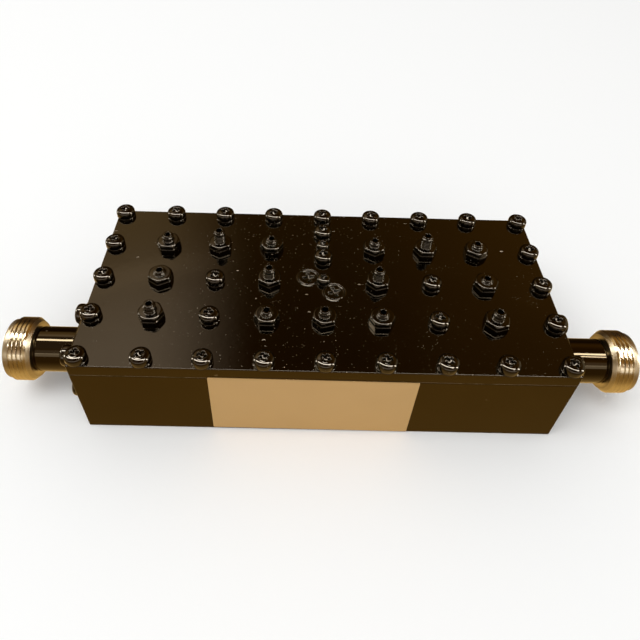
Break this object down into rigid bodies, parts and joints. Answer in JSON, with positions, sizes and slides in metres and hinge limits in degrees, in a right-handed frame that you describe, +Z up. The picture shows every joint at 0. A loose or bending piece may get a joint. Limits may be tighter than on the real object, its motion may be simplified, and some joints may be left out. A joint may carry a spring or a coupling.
{
  "type": "coaxial cavity bandpass filter",
  "caption": "Black painted rectangular cavity filter with a screwed lid, locked tuning and coupling screws on top and a threaded coaxial socket on each end.",
  "frame": {"origin": "middle of the base", "axes": "+X from the left socket to the right one, +Y from the label side to the back, +Z up out of the lid"},
  "size_m": [0.1562, 0.0544, 0.0316],
  "materials": {
    "black_paint": "sprayed gloss black over body, lid and screws",
    "nickel_plate": "turned, nickel plated, bare thread",
    "silver_plate": "silver plated inside",
    "screw_steel": "bright steel",
    "gilt_brass": "gilt contact metal",
    "white_ptfe": "white fluoropolymer",
    "label_foil": "matt tan film, bare of print"
  },
  "bodies": {
    "root": {"housing": "black_paint", "lid": "black_paint", "resonator_1": "silver_plate", "resonator_2": "silver_plate", "resonator_3": "silver_plate", "resonator_4": "silver_plate", "resonator_5": "silver_plate", "resonator_6": "silver_plate", "resonator_7": "silver_plate", "resonator_8": "silver_plate", "resonator_screws": "screw_steel", "tuning_screw_1": "black_paint", "tuning_screw_2": "black_paint", "tuning_screw_3": "black_paint", "tuning_screw_4": "black_paint", "tuning_screw_5": "black_paint", "tuning_screw_6": "black_paint", "tuning_screw_7": "black_paint", "tuning_screw_8": "black_paint", "tuning_nuts": "black_paint", "coupling_screw_1": "black_paint", "coupling_screw_2": "black_paint", "coupling_screw_3": "black_paint", "coupling_screw_4": "black_paint", "coupling_screw_5": "black_paint", "coupling_screw_6": "black_paint", "coupling_screw_7": "black_paint", "coupling_nuts": "black_paint", "coupling_rod": "gilt_brass", "rod_insulator": "white_ptfe", "left_socket_shell": "nickel_plate", "left_socket_insulator": "white_ptfe", "left_socket_contact": "gilt_brass", "left_tap_rod": "gilt_brass", "left_flange_screws": "black_paint", "right_socket_shell": "nickel_plate", "right_socket_insulator": "white_ptfe", "right_socket_contact": "gilt_brass", "right_tap_rod": "gilt_brass", "right_flange_screws": "black_paint", "lid_screws_back": "black_paint", "lid_screws_front": "black_paint", "lid_screws_left": "black_paint", "lid_screws_right": "black_paint", "lid_screws_inner": "black_paint", "small_screws": "black_paint", "countersunk_screws": "black_paint", "label": "label_foil"}
  },
  "joints": []
}
